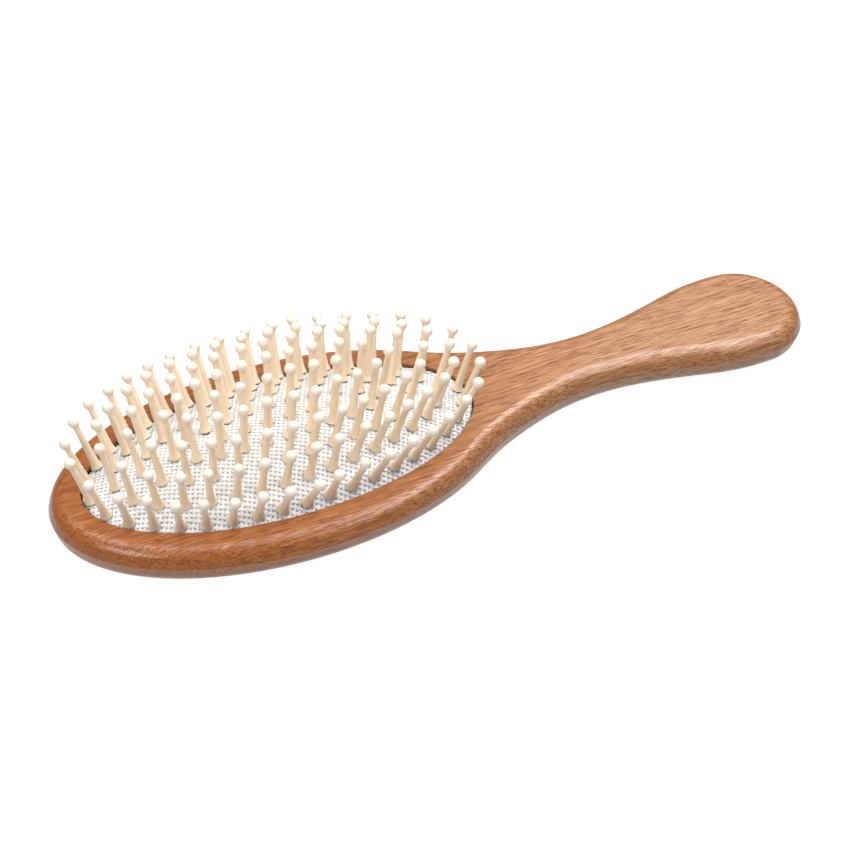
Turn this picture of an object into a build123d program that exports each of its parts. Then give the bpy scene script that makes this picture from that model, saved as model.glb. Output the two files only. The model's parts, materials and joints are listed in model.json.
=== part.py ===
"""Oval wooden cushion hairbrush: beech body, rubber cushion and ball-tipped wooden pins.

Frame: origin under the middle of the brush on its flat back, +X towards the handle's end,
+Y across the brush, +Z up, with the pins pointing up. Millimetres.
"""
from build123d import *
import math
import os

# ---- body ----
LENGTH = 224.2
HEAD_A = 63.5                   # head outline, half length
HEAD_B = 36.6                   # head outline, half width
THICKNESS = 10.5
LAND_LOW = 5.8                  # narrow land round the edge, where the two round-overs meet
LAND_HIGH = 6.0
FACE_LEAN = 1.46                # how far the edge leans in from the land to the face
FACE_ROUND = 3.8
BACK_LEAN = 1.45                # and from the land to the back
BACK_ROUND = 4.2
HEAD_X = HEAD_A - LENGTH / 2    # centre of the head and of everything in it
SHOULDER_ANGLE = 46.0           # where the oval head turns into the handle's curve
# handle outline: (distance from the handle's end, half width)
HANDLE = [(104.3, 19.3), (92.3, 14.4), (81.3, 11.3), (68.3, 10.0), (54.3, 11.3), (37.8, 15.1)]
END_A = 16.6                    # rounded end of the handle, length
END_B = 17.8                    # and half width

# ---- pocket under the cushion ----
MOUTH_A = 55.0
MOUTH_B = 27.5
MOUTH_ROUND = 0.4
LIP = 1.1                       # wood above the cushion's flange
FLANGE = 1.6
FLANGE_OUT = 2.2                # flange beyond the mouth
GAP = 0.15                      # round the flange
CHAMBER_IN = 0.6                # ledge that carries the flange
FLOOR = 3.0

# ---- cushion ----
RIM_A = MOUTH_A - 0.4
RIM_B = MOUTH_B - 0.4
RIM_Z = THICKNESS - LIP - GAP
DOME = 9.7                      # crown above the rim
SKIN = 1.3
# The dome is the cap of a spheroid whose long axis lies along X below the rim.
AXIS_DROP = (RIM_B**2 - DOME**2) / (2 * DOME)
DOME_R = AXIS_DROP + DOME
STRETCH = RIM_A / RIM_B
AXIS_Z = RIM_Z - AXIS_DROP

# ---- pins ----
BALL_R = 1.45
NECK_R = 0.85
COLLAR_R = 1.65
FLARE_R = 1.22                  # shank above the flared collar
FLARE_Z = 3.2
STEM_R = 1.0
FOOT_R = 1.5
FOOT = 1.0
REACH = 15.1                    # cushion surface to the ball's centre
COLLAR_GAP = 0.15
FOOT_GAP = 0.4
HOLE_GAP = 0.08
LEAN = 0.85                     # share of the surface's slope that a pin takes
# rings of pins: (half length, half width, pins, taper of the width towards the handle)
RINGS = [(52.1, 24.5, 38, 0.03), (45.4, 18.8, 32, 0.10), (38.0, 13.0, 26, 0.02), (29.1, 6.6, 20, 0.0)]
RING_SHIFT = -0.6
CENTRE_ROW = (15.9, 6)          # half length, pins
# tops of the seven press levels, as shares of the crown's travel
LEVELS = [0.15, 0.36, 0.50, 0.66, 0.82, 0.94, 1.01]


def ellipse_points(half_length, half_width, count):
    """An even number of points at equal steps of arc round an ellipse, from its -X end."""
    fine = 3600
    turn = [math.pi * i / fine for i in range(fine + 1)]
    curve = [(-half_length * math.cos(t), -half_width * math.sin(t)) for t in turn]
    walked = [0.0]
    for here, after in zip(curve, curve[1:]):
        walked.append(walked[-1] + math.dist(here, after))
    steps = [2 * walked[-1] * k / count for k in range(1, count // 2)]
    near_side = [next(p for p, length in zip(curve, walked) if length >= step) for step in steps]
    far_side = [(x, -y) for x, y in near_side]
    return [(-half_length, 0.0), (half_length, 0.0)] + near_side + far_side


def pin_rings():
    """(ring number, x, y) of every pin, x from the head's centre."""
    pins = []
    for ring, (half_length, half_width, count, taper) in enumerate(RINGS, start=1):
        for x, y in ellipse_points(half_length, half_width, count):
            pins.append((ring, x + RING_SHIFT, y * (1 - taper * x / half_length)))
    half_row, count = CENTRE_ROW
    for k in range(count):
        pins.append((len(RINGS) + 1, half_row * (2 * k / (count - 1) - 1) + RING_SHIFT, 0.0))
    return pins


def dome_height(x, y):
    """Height of the cushion's surface above its rim."""
    return math.sqrt(DOME_R**2 - (x / STRETCH) ** 2 - y**2) - AXIS_DROP


def press_share(x, y):
    """Share of the crown's travel that the cushion has at a point."""
    t = dome_height(x, y) / DOME
    return t * t * (3 - 2 * t)


def pin_plane(x, y):
    """Plane on the cushion's surface with its normal along the pin."""
    z = dome_height(x, y)
    up = (LEAN * x / STRETCH**2, LEAN * y, z + AXIS_DROP)
    return Plane(origin=(HEAD_X + x, y, RIM_Z + z), x_dir=(up[2], 0, -up[0]), z_dir=up)


def pin_groups():
    """Pins by node name: one group for each ring, press level and side."""
    groups = {}
    for ring, x, y in pin_rings():
        level = 1 + next(i for i, top in enumerate(LEVELS) if press_share(x, y) < top)
        side = "left" if y > 0.01 else "right" if y < -0.01 else "tip" if x < 0 else "heel"
        if ring > len(RINGS):
            name = f"centre_row_{side}_pins"
        else:
            name = f"ring{ring}_level{level}_{side}_pins"
        groups.setdefault(name, []).append((level, x, y))
    return groups


def oval(half_length, half_width, z, depth, mode):
    """Vertical oval block at the head's centre, from z upwards."""
    with BuildSketch(Plane.XY.offset(z)) as outline:
        with Locations((HEAD_X, 0)):
            Ellipse(half_length, half_width)
    extrude(outline.sketch, amount=depth, mode=mode)


def spheroid(radius, mode):
    """Solid of revolution about the dome's long axis."""
    with BuildSketch(Plane(origin=(HEAD_X, 0, AXIS_Z), x_dir=(1, 0, 0), z_dir=(0, -1, 0))) as half:
        with BuildLine():
            arc = EllipticalCenterArc((0, 0), radius * STRETCH, radius, 0, arc_size=180)
            Line(arc @ 1, arc @ 0)
        make_face()
    revolve(half.sketch, axis=Axis((HEAD_X, 0, AXIS_Z), (1, 0, 0)), mode=mode)


# ---- body: head and handle cut from one board ----
with BuildPart() as body:
    with BuildSketch():
        with BuildLine():
            head = EllipticalCenterArc((HEAD_X, 0), HEAD_A, HEAD_B, 180, arc_size=SHOULDER_ANGLE - 180)
            side = [(LENGTH / 2 - back, half) for back, half in HANDLE]
            end_x = LENGTH / 2 - END_A
            Spline(head @ 1, *side, (end_x, END_B), tangents=(head % 1, (1, 0)))
            EllipticalCenterArc((end_x, 0), END_A, END_B, 90, arc_size=-90)
            mirror(about=Plane.XZ)
        make_face()
    extrude(amount=THICKNESS)
    face = body.faces().sort_by(Axis.Z)[-1]
    chamfer(face.edges(), length=FACE_LEAN, length2=THICKNESS - LAND_HIGH, reference=face)
    back = body.faces().sort_by(Axis.Z)[0]
    chamfer(back.edges(), length=BACK_LEAN, length2=LAND_LOW, reference=back)
    fillet(body.edges().group_by(Axis.Z)[-1], FACE_ROUND)
    fillet(body.edges().group_by(Axis.Z)[0], BACK_ROUND)
    oval(MOUTH_A, MOUTH_B, RIM_Z, THICKNESS, Mode.SUBTRACT)
    groove_out = FLANGE_OUT + GAP
    groove_z = RIM_Z - FLANGE - GAP
    oval(MOUTH_A + groove_out, MOUTH_B + groove_out, groove_z, FLANGE + 2 * GAP, Mode.SUBTRACT)
    oval(MOUTH_A - CHAMBER_IN, MOUTH_B - CHAMBER_IN, FLOOR, groove_z - FLOOR + GAP, Mode.SUBTRACT)
    mouth_edges = body.edges().filter_by(GeomType.ELLIPSE).group_by(Axis.Z)[-1]
    fillet(mouth_edges, MOUTH_ROUND)

# ---- cushion: domed rubber skin with a flange that sits in the groove ----
PINS = pin_groups()
PIN_PLANES = [pin_plane(x, y) for group in PINS.values() for level, x, y in group]

with BuildPart() as cushion:
    spheroid(DOME_R, Mode.ADD)
    split(bisect_by=Plane.XY.offset(RIM_Z), keep=Keep.TOP)
    oval(MOUTH_A + FLANGE_OUT, MOUTH_B + FLANGE_OUT, RIM_Z - FLANGE, FLANGE, Mode.ADD)
    spheroid(DOME_R - SKIN, Mode.SUBTRACT)
    with Locations(*[Location(plane) for plane in PIN_PLANES]):
        Cylinder(STEM_R + HOLE_GAP, 4 * SKIN, mode=Mode.SUBTRACT)

# ---- pin: foot under the skin, stem through it, tapered shank and ball tip ----
with BuildPart() as pin:
    with BuildSketch(Plane.XZ):
        with BuildLine():
            foot_top = -SKIN - FOOT_GAP
            neck_z = REACH - math.sqrt(BALL_R**2 - NECK_R**2)
            Polyline((0, foot_top - FOOT), (FOOT_R, foot_top - FOOT), (FOOT_R, foot_top),
                     (STEM_R, foot_top), (STEM_R, COLLAR_GAP), (COLLAR_R, COLLAR_GAP))
            Spline((COLLAR_R, COLLAR_GAP), (FLARE_R, FLARE_Z), (NECK_R, neck_z), tangents=((-0.05, 1), (-0.02, 1)))
            ThreePointArc((NECK_R, neck_z), (BALL_R, REACH), (0, REACH + BALL_R))
            Line((0, REACH + BALL_R), (0, foot_top - FOOT))
        make_face()
    revolve(axis=Axis.Z)


def build_pin_group(name, group):
    """One node: the same turned pin at each place in the group."""
    with BuildPart() as pins:
        with Locations(*[Location(pin_plane(x, y)) for level, x, y in group]):
            add(pin.part)
    pins.part.label = name
    return pins.part


if __name__ == "__main__":
    os.makedirs("parts", exist_ok=True)
    body.part.label = "wood_body"
    export_step(body.part, "parts/wood_body.step")
    cushion.part.label = "rubber_cushion"
    export_step(cushion.part, "parts/rubber_cushion.step")
    for name, group in PINS.items():
        export_step(build_pin_group(name, group), f"parts/{name}.step")
    print(len(PINS), "pin nodes,", len(PIN_PLANES), "pins")
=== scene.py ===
"""Oval cushion hairbrush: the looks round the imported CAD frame. Metres, the CAD's own axes."""
import bpy
import json
import math
import random
import numpy as np
from mathutils import Matrix, Vector

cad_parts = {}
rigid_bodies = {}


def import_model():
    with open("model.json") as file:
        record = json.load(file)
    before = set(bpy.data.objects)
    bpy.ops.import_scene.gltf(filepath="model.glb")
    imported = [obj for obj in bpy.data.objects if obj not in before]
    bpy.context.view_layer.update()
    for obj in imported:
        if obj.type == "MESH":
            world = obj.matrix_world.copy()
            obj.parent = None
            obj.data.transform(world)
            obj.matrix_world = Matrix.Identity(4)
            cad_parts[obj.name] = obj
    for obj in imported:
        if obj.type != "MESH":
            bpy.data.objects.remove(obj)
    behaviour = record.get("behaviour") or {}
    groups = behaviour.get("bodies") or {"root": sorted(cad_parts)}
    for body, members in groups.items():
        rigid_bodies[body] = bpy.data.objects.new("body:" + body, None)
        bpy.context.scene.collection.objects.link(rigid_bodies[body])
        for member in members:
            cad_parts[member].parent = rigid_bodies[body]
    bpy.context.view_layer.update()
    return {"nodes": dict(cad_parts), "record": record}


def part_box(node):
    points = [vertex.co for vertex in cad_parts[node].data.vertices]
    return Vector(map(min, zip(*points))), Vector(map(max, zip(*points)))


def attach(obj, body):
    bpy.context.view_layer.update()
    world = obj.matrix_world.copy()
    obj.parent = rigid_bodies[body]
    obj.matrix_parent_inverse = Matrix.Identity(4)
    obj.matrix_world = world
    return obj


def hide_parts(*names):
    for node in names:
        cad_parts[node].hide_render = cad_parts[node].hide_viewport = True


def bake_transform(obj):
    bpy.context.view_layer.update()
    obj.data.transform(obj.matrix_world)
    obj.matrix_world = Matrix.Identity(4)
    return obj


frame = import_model()

MM = 0.001

# ---- the part's own dimensions, in millimetres ----
BODY_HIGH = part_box("wood_body")[1]
FACE_Z = BODY_HIGH[2] / MM
CUSHION_LOW, CUSHION_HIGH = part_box("rubber_cushion")
CROWN_Z = CUSHION_HIGH[2] / MM
HEAD_X = (CUSHION_LOW[0] + CUSHION_HIGH[0]) / 2 / MM
RIM_A, RIM_B = 54.6, 27.1       # cushion's rim, half length and half width
RIM_DROP = 1.25                 # from the wood's face down to the rim
RIM_Z = FACE_Z - RIM_DROP
SKIN = 1.3
DOME = CROWN_Z - RIM_Z
AXIS_DROP = (RIM_B**2 - DOME**2) / (2 * DOME)
DOME_R = AXIS_DROP + DOME
STRETCH = RIM_A / RIM_B
# rings of pins: (half length, half width, pins, taper of the width towards the handle)
RINGS = [(52.1, 24.5, 38, 0.03), (45.4, 18.8, 32, 0.10), (38.0, 13.0, 26, 0.02), (29.1, 6.6, 20, 0.0)]
RING_SHIFT = -0.6
CENTRE_ROW = (15.9, 6)          # half length, pins
LEAN = 0.85                     # share of the surface's slope that a pin takes
LEVELS = [0.15, 0.36, 0.50, 0.66, 0.82, 0.94, 1.01]     # tops of the press levels
PIN_REACH = 15.1                # cushion to the ball's centre


def dome_height(x, y):
    """Height of the cushion above its rim, x and y from the head's centre; arrays are allowed."""
    return np.sqrt(DOME_R**2 - (x / STRETCH) ** 2 - y**2) - AXIS_DROP


def dome_normal(x, y):
    """Unit normals of the cushion at arrays of points."""
    slope = np.stack([x / STRETCH**2, y, dome_height(x, y) + AXIS_DROP], axis=-1)
    return slope / np.linalg.norm(slope, axis=-1, keepdims=True)


# ---- node helpers ----
class Nodes:
    """Short forms for building one material's node tree."""

    def __init__(self, name):
        self.material = bpy.data.materials.new(name)
        self.material.use_nodes = True
        self.tree = self.material.node_tree
        self.shader = self.tree.nodes["Principled BSDF"]

    def add(self, kind, **settings):
        """A node with properties or input values set by name."""
        node = self.tree.nodes.new(kind)
        for key, value in settings.items():
            if hasattr(node, key):
                setattr(node, key, value)
            else:
                node.inputs[key].default_value = value
        return node

    def link(self, out, to):
        self.tree.links.new(out, to)

    def math(self, operation, a, b=None):
        """One arithmetic node on sockets or plain numbers."""
        node = self.add("ShaderNodeMath", operation=operation)
        for socket, value in zip(node.inputs, (a, b)):
            if value is None:
                continue
            if isinstance(value, (int, float)):
                socket.default_value = value
            else:
                self.link(value, socket)
        return node.outputs[0]

    def position(self, scale, offset=(0, 0, 0)):
        """Object coordinates in millimetres, scaled along each axis."""
        place = self.add("ShaderNodeTexCoord")
        mapping = self.add("ShaderNodeMapping")
        mapping.inputs["Scale"].default_value = [s / MM for s in scale]
        mapping.inputs["Location"].default_value = offset
        self.link(place.outputs["Object"], mapping.inputs["Vector"])
        return mapping.outputs[0]

    def noise(self, vector, scale=1.0, detail=2.0, roughness=0.5):
        node = self.add("ShaderNodeTexNoise")
        node.inputs["Scale"].default_value = scale
        node.inputs["Detail"].default_value = detail
        node.inputs["Roughness"].default_value = roughness
        self.link(vector, node.inputs["Vector"])
        return node.outputs["Fac"]

    def steps(self, value, low, high):
        """Smooth step of a value from 0 at low to 1 at high."""
        node = self.add("ShaderNodeMapRange", interpolation_type="SMOOTHSTEP")
        node.inputs["From Min"].default_value = low
        node.inputs["From Max"].default_value = high
        self.link(value, node.inputs["Value"])
        return node.outputs["Result"]

    def mix(self, factor, a, b, blend="MIX"):
        node = self.add("ShaderNodeMix", data_type="RGBA", blend_type=blend)
        for socket, value in ((node.inputs["Factor"], factor), (node.inputs["A"], a), (node.inputs["B"], b)):
            if isinstance(value, (int, float)):
                socket.default_value = value
            elif isinstance(value, tuple):
                socket.default_value = (*value, 1.0)
            else:
                self.link(value, socket)
        return node.outputs["Result"]

    def bump(self, height, distance, strength):
        """Normal from a height, with the distance in millimetres."""
        node = self.add("ShaderNodeBump")
        node.inputs["Strength"].default_value = strength
        node.inputs["Distance"].default_value = distance * MM
        self.link(height, node.inputs["Height"])
        return node.outputs["Normal"]

    def finish(self, **inputs):
        """Set or link the shader's inputs, by their names in lower case, and return the material."""
        for key, value in inputs.items():
            socket = self.shader.inputs[key.replace("_", " ").title().replace("Ior", "IOR")]
            if isinstance(value, (int, float)):
                socket.default_value = value
            elif isinstance(value, tuple):
                socket.default_value = (*value, 1.0)
            else:
                self.link(value, socket)
        return self.material


# ---- materials ----
def beech():
    """Varnished beech: growth bands, fine fibre and short dark flecks along X.

    Each noise's first triple is its features per millimetre along, across and into the board.
    Its second moves it away from the others.
    """
    n = Nodes("beech")
    warp = n.noise(n.position((0.012, 0.03, 0.03)), detail=2)
    warp = n.math("SUBTRACT", warp, 0.5)
    place = n.add("ShaderNodeTexCoord")
    split = n.add("ShaderNodeSeparateXYZ")
    n.link(place.outputs["Object"], split.inputs[0])
    # distance from the tree's pith, which lies below and to one side of the board
    across = n.math("ADD", n.math("MULTIPLY", split.outputs["Y"], 1000), 46.0)
    deep = n.math("ADD", n.math("MULTIPLY", split.outputs["Z"], 1000), 34.0)
    pith = n.math("SQRT", n.math("ADD", n.math("MULTIPLY", across, across), n.math("MULTIPLY", deep, deep)))
    pith = n.math("ADD", pith, n.math("MULTIPLY", warp, 11.0))
    ring = n.math("FRACT", n.math("MULTIPLY", pith, 0.30))
    late = n.math("MULTIPLY", n.steps(ring, 0.25, 0.88), n.math("SUBTRACT", 1.0, n.steps(ring, 0.90, 1.0)))
    fibre = n.noise(n.position((0.06, 2.2, 2.2)), detail=4, roughness=0.75)
    dash = n.noise(n.position((0.11, 2.2, 2.2), (2, 6, 1)), detail=3, roughness=0.65)
    streak = n.noise(n.position((0.012, 0.30, 0.30), (3, 1, 7)), detail=3)
    fleck = n.steps(n.noise(n.position((0.20, 3.0, 3.0), (9, 4, 2)), detail=1), 0.605, 0.635)
    long_fleck = n.steps(n.noise(n.position((0.075, 2.4, 2.4), (1, 8, 5)), detail=2), 0.59, 0.625)
    pale_fleck = n.steps(n.noise(n.position((0.08, 1.9, 1.9), (4, 2, 8)), detail=1), 0.58, 0.66)
    shade = n.noise(n.position((0.016, 0.03, 0.03), (5, 5, 5)), detail=1)
    place_along = n.math("ADD", n.math("MULTIPLY", split.outputs["X"], 1000), n.math("MULTIPLY", shade, 60))
    along = n.steps(place_along, -70, 90)
    head = n.math("SUBTRACT", 1.0, n.math("MULTIPLY", along, 0.15))

    light, mid, dark = (0.54, 0.275, 0.120), (0.40, 0.168, 0.062), (0.28, 0.080, 0.022)
    colour = n.mix(n.math("MULTIPLY", n.steps(fibre, 0.40, 0.62), 0.9), light, mid)
    colour = n.mix(n.math("MULTIPLY", n.steps(dash, 0.50, 0.62), 0.60), colour, dark)
    colour = n.mix(n.math("MULTIPLY", late, 0.22), colour, dark)
    colour = n.mix(n.math("MULTIPLY", n.steps(streak, 0.42, 0.70), 0.22), colour, mid)
    colour = n.mix(n.math("MULTIPLY", pale_fleck, 0.30), colour, (0.68, 0.44, 0.27))
    redder = n.mix(1.0, colour, (0.94, 0.63, 0.30), "MULTIPLY")
    colour = n.mix(along, redder, colour)
    colour = n.mix(n.math("MULTIPLY", n.math("MULTIPLY", long_fleck, head), 0.75), colour, (0.27, 0.074, 0.016))
    colour = n.mix(n.math("MULTIPLY", n.math("MULTIPLY", fleck, head), 0.85), colour, (0.19, 0.045, 0.010))

    rough = n.math("ADD", n.math("MULTIPLY", fibre, 0.20), 0.30)
    pores = n.noise(n.position((0.7, 2.0, 2.0), (7, 7, 3)), detail=2, roughness=0.7)
    height = n.math("SUBTRACT", n.math("ADD", n.math("MULTIPLY", fibre, 0.7), pores), fleck)
    n.link(n.bump(height, 0.07, 0.9), n.shader.inputs["Coat Normal"])
    normal = n.bump(height, 0.06, 0.8)
    return n.finish(base_color=colour, roughness=rough, normal=normal, coat_weight=1.0, coat_roughness=0.13,
                    specular_ior_level=0.2)


def pin_wood():
    """Pale turned hardwood, paler towards the ball, with a painted shadow: a dark line on the stem below the collar.
    """
    n = Nodes("pin_wood")
    local = n.add("ShaderNodeAttribute", attribute_name="pin_place").outputs["Vector"]
    along = n.add("ShaderNodeAttribute", attribute_name="pin_along").outputs["Fac"]
    stretched = n.add("ShaderNodeMapping")
    stretched.inputs["Scale"].default_value = (2.4, 2.4, 0.16)
    n.link(local, stretched.inputs["Vector"])
    fibre = n.noise(stretched.outputs[0], detail=4)
    tone = n.noise(local, scale=0.09, detail=1)
    colour = n.mix(n.steps(fibre, 0.30, 0.75), (0.95, 0.82, 0.645), (0.89, 0.735, 0.545))
    colour = n.mix(n.math("MULTIPLY", n.steps(tone, 0.35, 0.65), 0.30), colour, (0.92, 0.775, 0.59))
    colour = n.mix(n.math("MULTIPLY", n.steps(along, 13.0, 15.2), 0.75), colour, (0.92, 0.85, 0.76))
    shadow_line = n.math("SUBTRACT", 1.0, n.steps(along, 0.53, 0.60))
    colour = n.mix(n.math("MULTIPLY", shadow_line, 0.95), colour, (0.10, 0.06, 0.035))
    normal = n.bump(fibre, 0.012, 0.5)
    return n.finish(base_color=colour, roughness=0.6, normal=normal, subsurface_weight=0.12, subsurface_scale=0.0012,
                    specular_ior_level=0.3)


def thread_cloth():
    """White yarn with a fine fuzzy tone."""
    n = Nodes("white_thread")
    tone = n.noise(n.position((0.9, 0.9, 0.9)), detail=3)
    fine = n.noise(n.position((6, 6, 6)), detail=2)
    colour = n.mix(n.steps(tone, 0.3, 0.7), (0.87, 0.89, 0.91), (0.94, 0.95, 0.96))
    normal = n.bump(fine, 0.02, 0.6)
    return n.finish(base_color=colour, roughness=0.82, normal=normal, sheen_weight=0.15)


def rubber():
    """Moulded rubber under the cloth: off-white rubber darkened to blue-grey as painted shade, seen through the
    holes between the yarns.
    """
    n = Nodes("rubber_base_hole_shade")
    tone = n.noise(n.position((0.5, 0.5, 0.5)), detail=2)
    # painted shade: a blue-grey stands in for the shade in the holes between the yarns
    colour = n.mix(n.steps(tone, 0.3, 0.7), (0.62, 0.66, 0.70), (0.70, 0.74, 0.78))
    return n.finish(base_color=colour, roughness=0.7)


# ---- mesh helpers ----
def make_object(name, points, faces, material):
    """A smooth-shaded mesh object from points in millimetres."""
    mesh = bpy.data.meshes.new(name)
    mesh.from_pydata([tuple(p) for p in (np.asarray(points) * MM)], [], faces)
    mesh.materials.append(material)
    mesh.polygons.foreach_set("use_smooth", [True] * len(mesh.polygons))
    mesh.validate()
    mesh.update()
    obj = bpy.data.objects.new(name, mesh)
    bpy.context.scene.collection.objects.link(obj)
    return obj


def tube_faces(rings, sides, start):
    """Quads of a tube made of rings of points, with its two end caps."""
    faces = []
    for i in range(rings - 1):
        a, b = start + i * sides, start + (i + 1) * sides
        faces += [(a + j, a + (j + 1) % sides, b + (j + 1) % sides, b + j) for j in range(sides)]
    last = start + (rings - 1) * sides
    faces.append(tuple(start + j for j in reversed(range(sides))))
    faces.append(tuple(last + j for j in range(sides)))
    return faces


# ---- cushion ----
WEAVE_TURN = math.radians(-27.0)
WEAVE_PITCH = 1.2
WEAVE_STEP = WEAVE_PITCH / 4
WEAVE_LIFT = 0.08               # how far a yarn rises and dips
THREAD_SIDES = 6
THREAD_HALF_HEIGHT = 0.10
THREAD_STANDOFF = 0.06          # yarns' middle above the dome
WARP_WIDTH, WEFT_WIDTH = 1.02, 0.78
WEAVE_REACH = 70.0              # half length of the square of yarns that is cut to the rim
WEAVE_COUNT = 50                # yarns on each side of the middle
WEAVE_INSET = 0.1               # yarns' ends inside the rim
CLOTH_ROOM = 0.12               # rubber's surface below the dome
SKIN_RINGS, SKIN_SIDES = 40, 160


def thread(offset, count, direction, width, flip):
    """One yarn's tube points: it runs along direction, offset to its side, over and under."""
    side = np.array([-direction[1], direction[0]])
    s = np.arange(-WEAVE_REACH, WEAVE_REACH, WEAVE_STEP)
    plan = s[:, None] * direction + offset * side
    inside = (plan[:, 0] / (RIM_A - WEAVE_INSET)) ** 2 + (plan[:, 1] / (RIM_B - WEAVE_INSET)) ** 2 < 1
    s, plan = s[inside], plan[inside]
    if len(s) < 6:
        return None
    x, y = plan[:, 0], plan[:, 1]
    normal = dome_normal(x, y)
    wave = WEAVE_LIFT * np.cos(math.pi * (s / WEAVE_PITCH + count)) * flip
    surface = np.stack([x + HEAD_X, y, dome_height(x, y) + RIM_Z], axis=-1)
    centre = surface + normal * (THREAD_STANDOFF + wave)[:, None]
    across = np.cross(normal, [direction[0], direction[1], 0.0])
    across /= np.linalg.norm(across, axis=-1, keepdims=True)
    turn = 2 * np.pi * np.arange(THREAD_SIDES) / THREAD_SIDES
    ring = (np.cos(turn)[None, :, None] * across[:, None, :] * width / 2
            + np.sin(turn)[None, :, None] * normal[:, None, :] * THREAD_HALF_HEIGHT)
    return (centre[:, None, :] + ring).reshape(-1, 3), len(s)


def weave():
    """Both sets of yarns over the dome, as closed tubes."""
    points, faces, start = [], [], 0
    along = np.array([math.cos(WEAVE_TURN), math.sin(WEAVE_TURN)])
    across = np.array([-along[1], along[0]])
    for direction, width, flip in ((along, WARP_WIDTH, 1), (across, WEFT_WIDTH, -1)):
        for count in range(-WEAVE_COUNT, WEAVE_COUNT + 1):
            made = thread(count * WEAVE_PITCH, count, direction, width, flip)
            if made is None:
                continue
            ring_points, rings = made
            points.append(ring_points)
            faces += tube_faces(rings, THREAD_SIDES, start)
            start += len(ring_points)
    return make_object("cushion_cloth", np.concatenate(points), faces, thread_cloth())


def rubber_skin():
    """The moulded rubber dome under the cloth, a closed shell."""
    rings, sides = SKIN_RINGS, SKIN_SIDES
    turn = 2 * np.pi * np.arange(sides) / sides
    points = []
    for side_offset, order in ((-CLOTH_ROOM, range(1, rings + 1)), (-SKIN, range(rings, 0, -1))):
        for i in order:
            rho = i / rings
            x = RIM_A * rho * np.cos(turn)
            y = RIM_B * rho * np.sin(turn)
            surface = np.stack([x + HEAD_X, y, dome_height(x, y) + RIM_Z], axis=-1)
            points.append(surface + dome_normal(x, y) * side_offset)
    faces = tube_faces(2 * rings, sides, 0)
    return make_object("cushion_rubber", np.concatenate(points), faces, rubber())


def build_cushion():
    """Cloth and rubber, fixed to the body that the first joint hangs from."""
    root = frame["record"]["behaviour"]["joints"][0]["parent"]
    for piece in (weave(), rubber_skin()):
        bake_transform(piece)
        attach(piece, root)
        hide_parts("rubber_cushion")


# ---- pins ----
PIN_SIDES = 20
# turned profile: (radius, height above the cushion)
PIN_PROFILE = [(1.45, -2.7), (1.5, -2.6), (1.5, -1.8), (1.4, -1.7), (1.0, -1.7), (1.0, -0.3), (1.3, -0.1),
               (1.3, 0.52), (1.56, 0.56), (1.67, 0.66), (1.68, 0.84), (1.58, 1.10), (1.40, 1.5), (1.25, 2.0),
               (1.15, 2.8), (1.08, 4.0), (1.02, 5.8), (0.96, 8.0), (0.89, 10.4), (0.84, 12.6), (0.82, 13.5)]
BALL_R = 1.51
NECK_R = 0.82
BALL_RINGS = 12
BALL_TOP_ANGLE = 0.12           # radians left open at the ball's top, closed by a flat cap
GIRTH_SPREAD = 0.03
LENGTH_SPREAD = 0.012
TILT_SPREAD = math.radians(1.3)
PIN_SEED = 41


def pin_profile():
    """The whole turned profile, with the ball's arc from the neck to its top."""
    start = math.asin(NECK_R / BALL_R)
    arc = np.linspace(math.pi - start, BALL_TOP_ANGLE, BALL_RINGS)
    ball = [(BALL_R * math.sin(a), PIN_REACH + BALL_R * math.cos(a)) for a in arc]
    return np.array(PIN_PROFILE + ball[1:])


def ellipse_points(half_length, half_width, count):
    """An even number of points at equal steps of arc round an ellipse, from its -X end."""
    turn = np.linspace(0, math.pi, 3601)
    curve = np.stack([-half_length * np.cos(turn), -half_width * np.sin(turn)], axis=-1)
    walked = np.concatenate([[0], np.cumsum(np.hypot(*np.diff(curve, axis=0).T))])
    steps = [2 * walked[-1] * k / count for k in range(1, count // 2)]
    near_side = [tuple(curve[np.searchsorted(walked, step)]) for step in steps]
    far_side = [(x, -y) for x, y in near_side]
    return [(-half_length, 0.0), (half_length, 0.0)] + near_side + far_side


def pin_groups():
    """Pins by CAD node name: one group for each ring, press level and side."""
    places = []
    for ring, (half_length, half_width, count, taper) in enumerate(RINGS, start=1):
        for x, y in ellipse_points(half_length, half_width, count):
            places.append((ring, x + RING_SHIFT, y * (1 - taper * x / half_length)))
    half_row, count = CENTRE_ROW
    for k in range(count):
        places.append((len(RINGS) + 1, half_row * (2 * k / (count - 1) - 1) + RING_SHIFT, 0.0))
    groups = {}
    for ring, x, y in places:
        t = dome_height(x, y) / DOME
        share = t * t * (3 - 2 * t)
        level = 1 + next(i for i, top in enumerate(LEVELS) if share < top)
        side = "left" if y > 0.01 else "right" if y < -0.01 else "tip" if x < 0 else "heel"
        name = f"ring{ring}_level{level}_{side}_pins" if ring <= len(RINGS) else f"centre_row_{side}_pins"
        groups.setdefault(name, []).append((x, y))
    return groups


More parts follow.
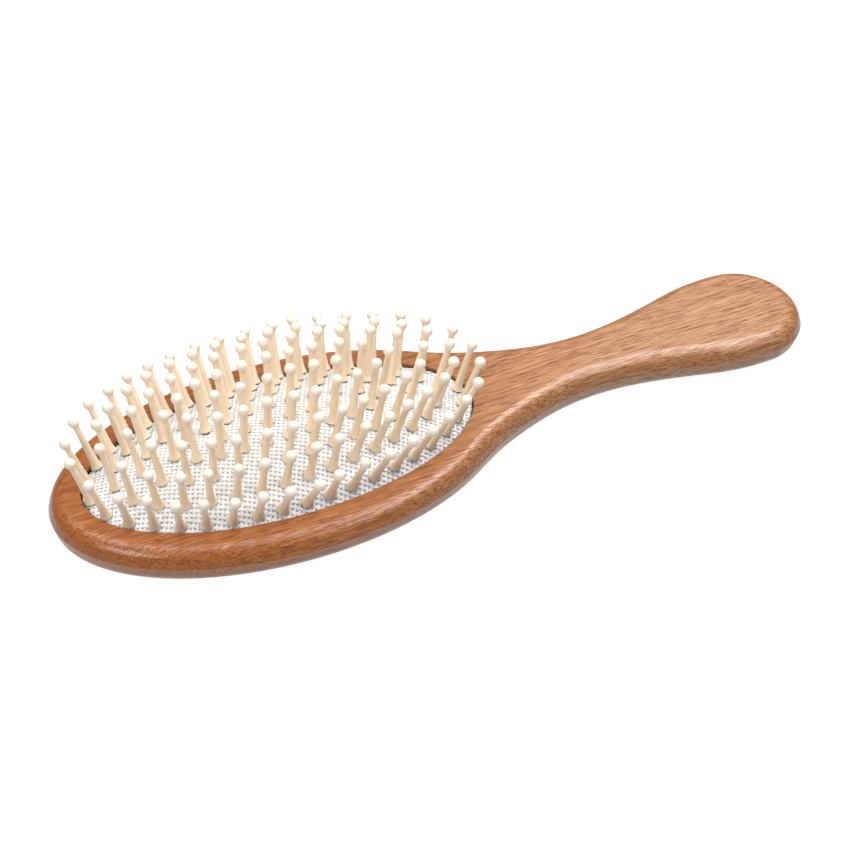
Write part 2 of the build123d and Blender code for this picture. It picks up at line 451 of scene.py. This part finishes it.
def pin_points(x, y, chance):
    """One pin's points in the frame, its own place for the grain, and its height along the pin."""
    profile = pin_profile()
    turn = 2 * np.pi * np.arange(PIN_SIDES) / PIN_SIDES
    fat = 1 + chance.uniform(-GIRTH_SPREAD, GIRTH_SPREAD)
    long = 1 + chance.uniform(-LENGTH_SPREAD, LENGTH_SPREAD)
    ring = np.stack([np.cos(turn), np.sin(turn)], axis=-1)
    flat = profile[:, None, :1] * ring[None, :, :] * fat
    height = np.repeat(profile[:, 1:2], PIN_SIDES, axis=1)
    local = np.concatenate([flat, height[:, :, None]], axis=-1).reshape(-1, 3)
    above = local[:, 2] > 0
    local[above, 2] *= long
    base = Vector((HEAD_X + x, y, RIM_Z + dome_height(x, y)))
    up = Vector((LEAN * x / STRETCH**2, LEAN * y, dome_height(x, y) + AXIS_DROP)).normalized()
    tilt = Vector((chance.gauss(0, 1), chance.gauss(0, 1), 0)) * TILT_SPREAD
    up = (up + tilt).normalized()
    rotation = np.array(up.to_track_quat("Z", "Y").to_matrix())
    points = local @ rotation.T + np.array(base)
    grain = local + np.array([chance.uniform(0, 90) for _ in range(3)])
    return points, grain, local[:, 2]


def build_pins(material):
    """One visual piece for each CAD node of pins, on that node's body."""
    chance = random.Random(PIN_SEED)
    bodies = frame["record"]["behaviour"]["bodies"]
    body_of = {node: body for body, nodes in bodies.items() for node in nodes}
    for node, places in pin_groups().items():
        points, grains, heights, faces = [], [], [], []
        for count, (x, y) in enumerate(places):
            pin, grain, height = pin_points(x, y, chance)
            faces += tube_faces(len(pin) // PIN_SIDES, PIN_SIDES, count * len(pin))
            points.append(pin)
            grains.append(grain)
            heights.append(height)
        piece = make_object(node.replace("_pins", "_turned_pins"), np.concatenate(points), faces, material)
        place = piece.data.attributes.new("pin_place", "FLOAT_VECTOR", "POINT")
        place.data.foreach_set("vector", np.concatenate(grains).astype(np.float32).ravel())
        along = piece.data.attributes.new("pin_along", "FLOAT", "POINT")
        along.data.foreach_set("value", np.concatenate(heights).astype(np.float32))
        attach(piece, body_of[node])
        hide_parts(node)


# ---- camera ----
VIEW_AZIMUTH, VIEW_ELEVATION, VIEW_ROLL = -27.32, 40.33, 1.35
VIEW_TARGET = (37.19, -8.03)            # from the head's centre, on the wood's face
VIEW_DISTANCE = 556.2
SENSOR_WIDTH, LENS = 36.0, 88.87


def add_camera():
    """The main view: azimuth and elevation of the camera about a point on the wood's face."""
    azimuth, elevation, roll = (math.radians(angle) for angle in (VIEW_AZIMUTH, VIEW_ELEVATION, VIEW_ROLL))
    target = Vector((HEAD_X + VIEW_TARGET[0], VIEW_TARGET[1], FACE_Z)) * MM
    distance = VIEW_DISTANCE * MM
    back = Vector((math.sin(azimuth) * math.cos(elevation), -math.cos(azimuth) * math.cos(elevation),
                   math.sin(elevation)))
    right = (-back).cross(Vector((0, 0, 1))).normalized()
    up = right.cross(-back)
    tilted_right = right * math.cos(roll) + up * math.sin(roll)
    tilted_up = up * math.cos(roll) - right * math.sin(roll)
    rotation = Matrix((tilted_right, tilted_up, back)).transposed().to_4x4()
    data = bpy.data.cameras.new("camera")
    data.sensor_width = SENSOR_WIDTH
    data.lens = LENS
    data.clip_start = 0.01
    camera = bpy.data.objects.new("camera", data)
    camera.matrix_world = Matrix.Translation(target + back * distance) @ rotation
    bpy.context.scene.collection.objects.link(camera)
    bpy.context.scene.camera = camera


# ---- light and floor ----
# area lights: (name, place, size) in metres, then watts; all aim at the origin
LIGHTS = [("overhead", (0.05, 0.16, 0.74), (0.8, 0.45), 4.1),
          ("strip", (0.45, -0.06, 0.74), (1.4, 0.15), 4.5),
          ("side", (-0.60, -0.30, 0.45), (0.3, 0.3), 2.0)]
# the world's grey from straight down (0) to straight up (1)
SKY = [(0.36, 0.94), (0.46, 0.12), (0.76, 0.14), (0.92, 0.8)]
SKY_STRENGTH = 0.80
FLOOR_SIZE = 8
BACKDROP_RADIUS = 3.5
STAGE_GREY, STAGE_GLOW = 0.25, 0.90


def add_area(name, location, size, power):
    """A rectangular light aimed at the origin."""
    data = bpy.data.lights.new(name, "AREA")
    data.shape = "RECTANGLE"
    data.size, data.size_y = size
    data.energy = power
    light = bpy.data.objects.new(name, data)
    light.location = location
    light.rotation_euler = (-Vector(location)).to_track_quat("-Z", "Y").to_euler()
    bpy.context.scene.collection.objects.link(light)


def add_world():
    """A soft white studio: bright overhead, dim at the horizon, with a floor's bounce from below."""
    world = bpy.data.worlds.new("studio")
    world.use_nodes = True
    tree = world.node_tree
    place = tree.nodes.new("ShaderNodeTexCoord")
    split = tree.nodes.new("ShaderNodeSeparateXYZ")
    height = tree.nodes.new("ShaderNodeMapRange")
    height.inputs["From Min"].default_value = -1.0
    ramp = tree.nodes.new("ShaderNodeValToRGB")
    tree.links.new(place.outputs["Generated"], split.inputs[0])
    tree.links.new(split.outputs["Z"], height.inputs["Value"])
    tree.links.new(height.outputs["Result"], ramp.inputs["Fac"])
    elements = ramp.color_ramp.elements
    elements[0].position, elements[1].position = SKY[0][0], SKY[-1][0]
    for position, _ in SKY[1:-1]:
        elements.new(position)
    for element, (_, grey) in zip(elements, SKY):
        element.color = (grey, grey, grey, 1)
    tree.links.new(ramp.outputs[0], tree.nodes["Background"].inputs["Color"])
    tree.nodes["Background"].inputs["Strength"].default_value = SKY_STRENGTH
    bpy.context.scene.world = world


def add_stage():
    """A white floor, and a white wall far off that only the camera sees."""
    n = Nodes("studio_white")
    white = n.finish(base_color=(STAGE_GREY,) * 3, roughness=0.9, emission_color=(1.0, 1.0, 1.0),
                     emission_strength=STAGE_GLOW)
    bpy.ops.mesh.primitive_plane_add(size=FLOOR_SIZE)
    floor = bpy.context.object
    floor.name = "floor"
    floor.visible_diffuse = floor.visible_glossy = False
    bpy.ops.mesh.primitive_cylinder_add(radius=BACKDROP_RADIUS, depth=FLOOR_SIZE, vertices=96,
                                        end_fill_type="NOTHING")
    wall = bpy.context.object
    wall.name = "backdrop"
    wall.visible_diffuse = wall.visible_glossy = False
    wall.visible_transmission = wall.visible_shadow = False
    for piece in (floor, wall):
        piece.data.materials.append(white)


def dress_body():
    """The CAD body itself, in beech."""
    node = frame["nodes"]["wood_body"]
    node.data.materials.clear()
    node.data.materials.append(beech())


add_camera()
add_world()
for light in LIGHTS:
    add_area(*light)
add_stage()
bpy.context.scene.view_settings.view_transform = "Standard"
dress_body()
build_cushion()
build_pins(pin_wood())
